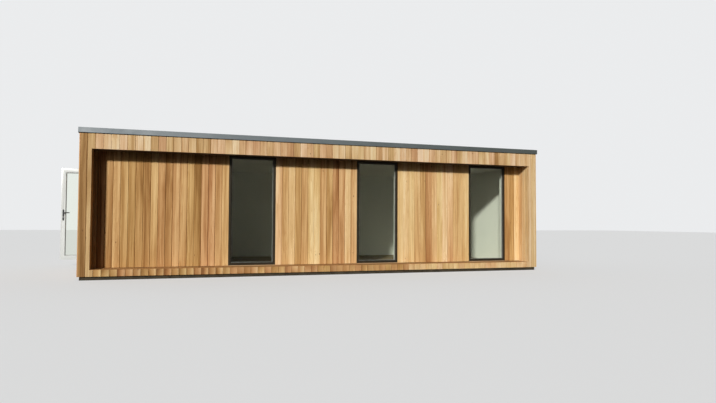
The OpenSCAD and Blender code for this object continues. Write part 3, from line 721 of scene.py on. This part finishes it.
# Where a row's own X, Y and Z point when its boards face each way: from board to board, into
# the wall, and along the boards
FACINGS = {
    "front": ((1, 0, 0), (0, 1, 0), (0, 0, 1)),
    "back": ((-1, 0, 0), (0, -1, 0), (0, 0, 1)),
    "left": ((0, -1, 0), (1, 0, 0), (0, 0, 1)),
    "right": ((0, 1, 0), (-1, 0, 0), (0, 0, 1)),
    "down": ((0, 1, 0), (0, 0, 1), (1, 0, 0)),
    "up": ((0, -1, 0), (0, 0, -1), (1, 0, 0)),
}


def put(piece, facing, place):
    """Turns a row that was made facing -Y, and moves it to its place."""
    turn = Matrix(FACINGS[facing]).transposed().to_4x4()
    piece.data.transform(Matrix.Translation(place) @ turn)
    return piece


def clad(low, high, facing, thickness, **settings):
    """A row of boards that covers the box from low to high and faces one way. It starts at
    the wall's side of the box, where its first board has its foot."""
    across, inward, along = (Vector(axis) for axis in FACINGS[facing])
    size = high - low
    row = board_row(abs(size.dot(across)), thickness, size.dot(along), **settings)
    toward = inward - across - along
    return put(row, facing, [high[n] if toward[n] > 0 else low[n] for n in range(3)])


def dress(piece, name, finish, body, replaced=()):
    """Names a finished piece, gives it its material and its body, and hides what it replaces."""
    piece.name = name
    piece.data.name = name
    piece.data.materials.clear()
    piece.data.materials.append(finishes[finish])
    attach(piece, body)
    if replaced:
        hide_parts(*replaced)
    print(name, "faces:", len(piece.data.polygons))
    return piece


print("board tools are ready")

# %% [markdown]
# The front wall stands back behind the cheeks. Its boards run between the windows, from a
# small drain gap over the ledge up to the soffit. Each bay is read from the frame: the
# windows' boxes say where a bay begins and ends. In the first bay the full boards start at
# the window, and the ripped board goes into the dark corner at the left. Each bay draws its
# boards from a seed of its own, picked from several so that pale and dark boards follow each
# other about as they do on the real wall.

# %% Boards of the front wall
wall_low, wall_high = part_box("front_wall_cladding")
THICK = wall_high.y - wall_low.y
WALL_LENGTH = wall_high.z - wall_low.z
SMALLEST_GAP = 0.05


def spans(node_name, axis=0):
    """The stretches that a node's solids cover along an axis, read from its edges."""
    mesh = frame["nodes"][node_name].data
    pairs = sorted(sorted(mesh.vertices[end].co[axis] for end in edge.vertices)
                   for edge in mesh.edges)
    start = round(pairs[0][0], 4)
    merged = [[start, start]]
    for low, high in pairs:
        if low > merged[-1][1] + SMALLEST_GAP:
            merged.append([low, high])
        else:
            merged[-1][1] = max(merged[-1][1], high)
    return merged


windows = spans("window_frames")
print("windows:", [[round(x, 3) for x in w] for w in windows])

BAY_SEEDS = (15, 23, 3, 52)
BAY_TONES = ((0.50, 0.44), (0.55, 0.67), (0.72, 0.78), (0.26, 0.74))
bays = []
bay_edges = [wall_low.x] + [x for window in windows for x in window] + [wall_high.x]
for left_edge, right_edge, seed, tones in zip(bay_edges[::2], bay_edges[1::2], BAY_SEEDS,
                                              BAY_TONES):
    first = not bays
    chance.seed(seed)
    row = board_row(right_edge - left_edge, THICK, WALL_LENGTH, tones, rip=first)
    if first:
        mirror(row, right_edge - left_edge)
    bays.append(put(row, "front", (left_edge, wall_high.y, wall_low.z)))
dress(join(bays), "front_wall_boards", "cedar", "pod", ["front_wall_cladding"])

# %% [markdown]
# The projecting frame has upright boards too. A full-height board closes each end of the front. The
# next board is notched round the recess: it runs full height beside the recess and keeps its whole
# width above and below it. Short boards then fill the fascia and the ledge. The same modelling
# tools make them, only the lengths differ. At the left end of the ledge every board is painted with
# shade at its left edge, so it is darker there than at its right one.

# %% Fascia, cheeks and ledge
fascia_low, fascia_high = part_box("fascia_cladding")
cheek_low, cheek_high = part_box("cheek_front_cladding")
ledge_low, ledge_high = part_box("ledge_cladding")
END_BOARD = 0.106
NOTCHED = 0.120
RUN_FROM = cheek_low.x + END_BOARD + NOTCHED
RUN_TO = cheek_high.x - END_BOARD - NOTCHED
STRIP = fascia_low.x - cheek_low.x - END_BOARD
LEDGE_BREAK = windows[1][1] + 0.10
FASCIA_TONES = (0.66, 0.66)
# Each run's start, end, mean tone, and lean of the tone from left to right, which is painted shade
# at each board's left edge
LEDGE_RUNS = ((RUN_FROM, windows[0][0], 0.37, 0.66), (windows[0][0], LEDGE_BREAK, 0.40, 0.25),
              (LEDGE_BREAK, RUN_TO, 0.76, 0.0))
# Each cheek's side, and the tones of its end board and its notched board
CHEEK_TONES = ((-1, 0.13, 0.42), (1, 0.70, 0.76))
SAME_TONE = 0.01  # spread of a board whose tone is chosen

fascia = board_row(RUN_TO - RUN_FROM, THICK, fascia_high.z - fascia_low.z, FASCIA_TONES,
                   rip=False)
put(fascia, "front", (RUN_FROM, fascia_high.y, fascia_low.z))
dress(fascia, "fascia_boards", "cedar_fascia", "pod", ["fascia_cladding"])

ledge_runs = []
for run_from, run_to, tone, shade_lean in LEDGE_RUNS:
    run = board_row(run_to - run_from, THICK, ledge_high.z - ledge_low.z, (tone, tone),
                    spread=0.06, rip=False, shade_lean=shade_lean)
    ledge_runs.append(put(run, "front", (run_from, ledge_high.y, ledge_low.z)))
dress(join(ledge_runs), "ledge_boards", "cedar_ledge", "pod", ["ledge_cladding"])


def notched_board(tone):
    """A full-height board, cut back to a strip between the ledge and the fascia."""
    length = cheek_high.z - cheek_low.z
    foot = ledge_high.z - cheek_low.z
    head = fascia_low.z - cheek_low.z
    made = board(NOTCHED, THICK, length)
    combine(made, (STRIP + NOTCHED / 2, -THICK / 2, (foot + head) / 2),
            (NOTCHED, 2 * THICK, head - foot))
    mark_boards(made, 1, NOTCHED, (tone, tone), SAME_TONE)
    return made


cheeks = []
for side, end_tone, notched_tone in CHEEK_TONES:
    end_board = board(END_BOARD, THICK, cheek_high.z - cheek_low.z)
    mark_boards(end_board, 1, END_BOARD, (end_tone, end_tone), SAME_TONE)
    notched = notched_board(notched_tone)
    notched.data.transform(Matrix.Translation((END_BOARD, 0, 0)))
    pair = join([end_board, notched])
    corner = cheek_low.x
    if side > 0:
        mirror(pair, END_BOARD + NOTCHED)
        corner = RUN_TO
    cheeks.append(put(pair, "front", (corner, cheek_high.y, cheek_low.z)))
dress(join(cheeks), "cheek_boards", "cedar_fascia", "pod", ["cheek_front_cladding"])

# %% [markdown]
# Inside the recess the cheeks have three upright boards each. The soffit and the top of the ledge
# are boarded lengthwise, which is how such surfaces are laid. The soffit and the left inner cheek
# get low tones as painted shade, and the right inner cheek gets a pale tone as painted light. The
# top of the ledge is darker too, partly for rain that lies on it and partly as painted shade.

# %% Inner cheeks, soffit and ledge top
# Which way each inner cheek faces, its mean tone, which paints shade on the left cheek and light on
# the right one, and how its boards spread round it
INNER_CHEEK_LIGHT_AND_SHADE = (("right", 0.26, 0.04), ("left", 0.86, 0.05))

# The box spans the recess, and each row stands at its own end of it
inner_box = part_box("cheek_inner_cladding")
inner_rows = [clad(*inner_box, facing, THICK, tones=(tone, tone), spread=spread, rip=False)
              for facing, tone, spread in INNER_CHEEK_LIGHT_AND_SHADE]
dress(join(inner_rows), "inner_cheek_boards", "cedar", "pod", ["cheek_inner_cladding"])

# The soffit's low tone is painted shade.
soffit = clad(*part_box("soffit_cladding"), "down", THICK, tones=(0.12, 0.12), spread=0.04,
              rip=False)
dress(soffit, "soffit_boards", "cedar_soffit", "pod", ["soffit_cladding"])

# The ledge top's low tone is partly painted shade and partly rain that lies on it.
ledge_top = clad(*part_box("ledge_top_board"), "up", THICK, tones=(0.20, 0.20), spread=0.06,
                 rip=False)
dress(ledge_top, "ledge_top_boards", "cedar_ledge", "pod", ["ledge_top_board"])

# %% [markdown]
# The ends and the back aren't seen in the photograph. They are boarded in the same way.
# On the left end the boards stop beside the doorway, and short ones run over it.

# %% Boards of the ends and the back
left_low, left_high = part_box("left_cladding")
left_rows = []
for low_y, high_y in spans("left_cladding", axis=1):
    low = Vector((left_low.x, low_y, left_low.z))
    high = Vector((left_high.x, high_y, left_high.z))
    left_rows.append(clad(low, high, "left", THICK))
dress(join(left_rows), "left_wall_boards", "cedar", "pod", ["left_cladding"])

for replaced, title, facing, rip in (("left_cladding_over_door", "boards_over_door", "left", False),
                                     ("right_cladding", "right_wall_boards", "right", True),
                                     ("back_cladding", "back_wall_boards", "back", True)):
    row = clad(*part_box(replaced), facing, THICK, rip=rip)
    dress(row, title, "cedar", "pod", [replaced])

# %% [markdown]
# Inside, long floor boards run the length of the room. They are the same kind of row, with a wider
# board and a grey brown stain. Their low tone and dark stain are painted shade for the dim room.

# %% Floor boards
PLANK = 0.140
room_low, room_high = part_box("floor_boards")
planks = clad(room_low, room_high, "up", room_high.z - room_low.z, tones=(0.08, 0.08),
              spread=0.04, pitch=PLANK, rip=False)
dress(planks, "floor_planks", "floor_board", "pod", ["floor_boards"])

# %% [markdown]
# A real window has a sealed glass unit: two panes of 4 millimetres, held apart by a bright
# metal spacer bar that runs round the edge. A single slab would bend the view and show one
# reflection only. Each pane is a cube with ground edges. The spacer and the rubber seal are
# rings, and a ring is a plane that is inset, opened in the middle and given its thickness by
# a Solidify modifier. An extrusion has the same shape, but its faces come in another order
# each time.

# %% Sealed glass units and their seals
PANE = 0.004
GROUND_EDGE = 0.0005
SEAL_BAND = 0.003
SEAL_DEPTH = 0.003
EDGE_COVER = 0.015
SPACER_INSET = 0.002


def pane(low, high):
    """One pane of glass between two corners, with ground edges."""
    made = cube((low + high) / 2, high - low)
    bpy.ops.object.mode_set(mode="EDIT")
    bpy.ops.mesh.select_all(action="SELECT")
    bpy.ops.mesh.bevel(offset=GROUND_EDGE, offset_type="OFFSET", segments=1)
    bpy.ops.object.mode_set(mode="OBJECT")
    return made


def ring(low, high, band):
    """A frame of even width between two corners. It stands upright and faces -Y."""
    let_go()
    centre = (low + high) / 2
    bpy.ops.mesh.primitive_plane_add(size=1, location=(centre.x, low.y, centre.z),
                                     rotation=(math.radians(90), 0, 0))
    made = bpy.context.object
    made.scale = (high.x - low.x, high.z - low.z, 1)
    bpy.ops.object.transform_apply(location=True, rotation=True, scale=True)
    bpy.ops.object.mode_set(mode="EDIT")
    bpy.ops.mesh.select_mode(type="FACE")
    bpy.ops.mesh.select_all(action="SELECT")
    bpy.ops.mesh.inset(thickness=band, depth=0)
    bpy.ops.mesh.delete(type="FACE")
    bpy.ops.object.mode_set(mode="OBJECT")
    finish_with(made, "SOLIDIFY", thickness=high.y - low.y, offset=-1)
    return made


def glass_unit(low, high):
    """The panes, the spacer and the seals of one unit that fills the box from low to high."""
    panes = [pane(low, Vector((high.x, low.y + PANE, high.z))),
             pane(Vector((low.x, high.y - PANE, low.z)), high)]
    edge = Vector((SPACER_INSET, PANE, SPACER_INSET))
    spacer = ring(low + edge, high - edge, EDGE_COVER + SPACER_INSET)
    sight_low = low + Vector((EDGE_COVER, 0, EDGE_COVER))
    sight_high = high - Vector((EDGE_COVER, 0, EDGE_COVER))
    seals = []
    for face, out in ((low.y, -1), (high.y, 1)):
        near, far = sorted((face, face + out * SEAL_DEPTH))
        seals.append(ring(Vector((sight_low.x, near, sight_low.z)),
                          Vector((sight_high.x, far, sight_high.z)), SEAL_BAND))
    return panes, [spacer], seals


def glaze(node_name, body, title):
    """Fills every glass solid of a node with a sealed unit."""
    low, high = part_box(node_name)
    panes, spacers, seals = [], [], []
    for from_x, to_x in spans(node_name):
        made = glass_unit(Vector((from_x, low.y, low.z)), Vector((to_x, high.y, high.z)))
        for kept, new in zip((panes, spacers, seals), made):
            kept.extend(new)
    dress(join(panes), title + "_panes", "glass", body, [node_name])
    dress(join(spacers), title + "_spacers", "spacer", body)
    dress(join(seals), title + "_seals", "gasket", body)


glaze("window_glass", "pod", "window")
glaze("door_glass", "door", "door")

# %% [markdown]
# Painted and moulded edges are never knife sharp. The frames, the door and its fittings and
# the roof trim are taken from the frame of solids: a copy of each mesh is merged, its flat
# faces are made whole again, and its edges get a small round that catches the light. The
# window frames are of the kind with two colours, dark outside and white inside, so the faces
# behind the middle of the glass get the white.

# %% Softened copies of the frame's solids
SAME_POINT = 0.00002
SHARP = math.radians(40)
SMOOTH = math.radians(35)
slot_of = {part["node"]: part["material_slot"] for part in frame["record"]["subparts"]}


def soften(node_name, width, body="pod"):
    """A copy of a solid with its edges rounded by a width in metres."""
    piece = bpy.data.objects.new(node_name + "_softened", frame["nodes"][node_name].data.copy())
    bpy.context.scene.collection.objects.link(piece)
    pick(piece)
    bpy.ops.object.mode_set(mode="EDIT")
    bpy.ops.mesh.select_all(action="SELECT")
    bpy.ops.mesh.remove_doubles(threshold=SAME_POINT)
    bpy.ops.mesh.dissolve_limited(angle_limit=math.radians(1))
    bpy.ops.mesh.normals_make_consistent(inside=False)
    bpy.ops.object.mode_set(mode="OBJECT")
    finish_with(piece, "BEVEL", width=width, segments=2, limit_method="ANGLE",
                angle_limit=SHARP)
    bpy.ops.object.shade_smooth_by_angle(angle=SMOOTH)
    return dress(piece, node_name + "_softened", slot_of[node_name], body, [node_name])


window_copy = soften("window_frames", 0.0015)
window_copy.data.materials.append(finishes["white_plastic"])
pane_low, pane_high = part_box("window_glass")
for face in window_copy.data.polygons:
    if face.center.y > (pane_low.y + pane_high.y) / 2:
        face.material_index = 1
soften("roof_trim", 0.0008)
soften("door_frame", 0.0020)
soften("door_sill", 0.0010)
soften("door_leaf", 0.0025, "door")
soften("door_handle_plates", 0.0012, "door")
soften("door_lever", 0.0020, "lever")
soften("hinge_fixed_halves", 0.0008)
soften("hinge_moving_halves", 0.0008, "door")

# %% [markdown]
# The handle plate on the room side is held by two screws, and the edge of the leaf shows the
# screws of its lock strip. A screw head could be a dot of paint, but a small form catches
# the light. It is a short cylinder with a cross cut into it, made once and copied.

# %% Screws
SCREW_RADIUS = 0.0038
SCREW_HEIGHT = 0.0012
CROSS_LENGTH, CROSS_WIDTH = 0.0045, 0.0009
PLATE_SCREW_INSET = 0.014
STRIP_SCREWS = 9
STRIP_FIRST, STRIP_LAST = 0.04, 1.65


def disc(radius, depth, sides, centre, turn=(0, 0, 0)):
    """A short cylinder with its place in its mesh."""
    let_go()
    bpy.ops.mesh.primitive_cylinder_add(vertices=sides, radius=radius, depth=depth,
                                        location=centre, rotation=turn)
    bpy.ops.object.transform_apply(location=True, rotation=True, scale=True)
    return bpy.context.object


def screw_head():
    """A screw head at the origin, facing +Z, with a cross in it."""
    made = disc(SCREW_RADIUS, SCREW_HEIGHT, 24, (0, 0, SCREW_HEIGHT / 2))
    finish_with(made, "BEVEL", width=SCREW_HEIGHT * 0.4, limit_method="ANGLE")
    for across, along in ((CROSS_LENGTH, CROSS_WIDTH), (CROSS_WIDTH, CROSS_LENGTH)):
        combine(made, (0, 0, SCREW_HEIGHT), (across, along, SCREW_HEIGHT))
    return made


def set_screws(pattern, places, toward):
    """Copies of a screw head at each place, turned to face a direction."""
    turn = Vector(toward).to_track_quat("Z", "Y").to_matrix().to_4x4()
    made = []
    for place in places:
        mesh = pattern.data.copy()
        mesh.transform(Matrix.Translation(place) @ turn)
        copy = bpy.data.objects.new("screw", mesh)
        bpy.context.scene.collection.objects.link(copy)
        made.append(copy)
    return made


plate_low, plate_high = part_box("door_handle_plates")
strip_low, strip_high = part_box("door_lock_strip")
plate_x = (plate_low.x + plate_high.x) / 2
strip_y = (strip_low.y + strip_high.y) / 2
plate_places = [(plate_x, plate_low.y, z) for z in (plate_low.z + PLATE_SCREW_INSET,
                                                    plate_high.z - PLATE_SCREW_INSET)]
strip_step = (STRIP_LAST - STRIP_FIRST) / (STRIP_SCREWS - 1)
strip_places = [(strip_low.x, strip_y, strip_low.z + STRIP_FIRST + number * strip_step)
                for number in range(STRIP_SCREWS)]
pattern = screw_head()
screws = (set_screws(pattern, plate_places, (0, -1, 0))
          + set_screws(pattern, strip_places, (-1, 0, 0)))
bpy.data.objects.remove(pattern)
dress(join(screws), "door_screws", "steel", "door")
print("from one strip screw to the next:", round(strip_step, 5))

# %% [markdown]
# Below the lever the end of the lock's cylinder stands a little proud of both plates. It has
# the usual form with a round head and a straight tail, so a disc and a block are made one,
# the edge is broken, and a narrow block cuts the keyhole.

# %% Lock cylinder
CYLINDER_RADIUS = 0.0085
CYLINDER_DEPTH = 0.003
CYLINDER_DROP = 0.092
TAIL = (0.010, CYLINDER_DEPTH, 0.023)
TAIL_DROP = 0.0125
KEYHOLE = (0.0018, 0.004, 0.0090)
BROKEN_EDGE = 0.0005
lever_low, lever_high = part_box("door_lever")
cylinder_z = (lever_low.z + lever_high.z) / 2 - CYLINDER_DROP
cylinders = []
for face, out in ((plate_low.y, -1), (plate_high.y, 1)):
    middle = face + out * CYLINDER_DEPTH / 2
    head = disc(CYLINDER_RADIUS, CYLINDER_DEPTH, 32, (plate_x, middle, cylinder_z),
                (math.radians(90), 0, 0))
    combine(head, (plate_x, middle, cylinder_z - TAIL_DROP), TAIL, "UNION")
    finish_with(head, "BEVEL", width=BROKEN_EDGE, limit_method="ANGLE")
    combine(head, (plate_x, face + out * CYLINDER_DEPTH, cylinder_z), KEYHOLE)
    cylinders.append(head)
dress(join(cylinders), "lock_cylinder", "steel", "door")

# %% [markdown]
# Each solid that stays as it is gets the finish of its material slot. The slot names come
# from the record, so a piece that is added to the frame later is dressed too.

# %% Finishes on the frame's own solids
for name, solid in frame["nodes"].items():
    solid.data.materials.clear()
    solid.data.materials.append(finishes[slot_of[name]])
print("dressed solids:", len(frame["nodes"]))
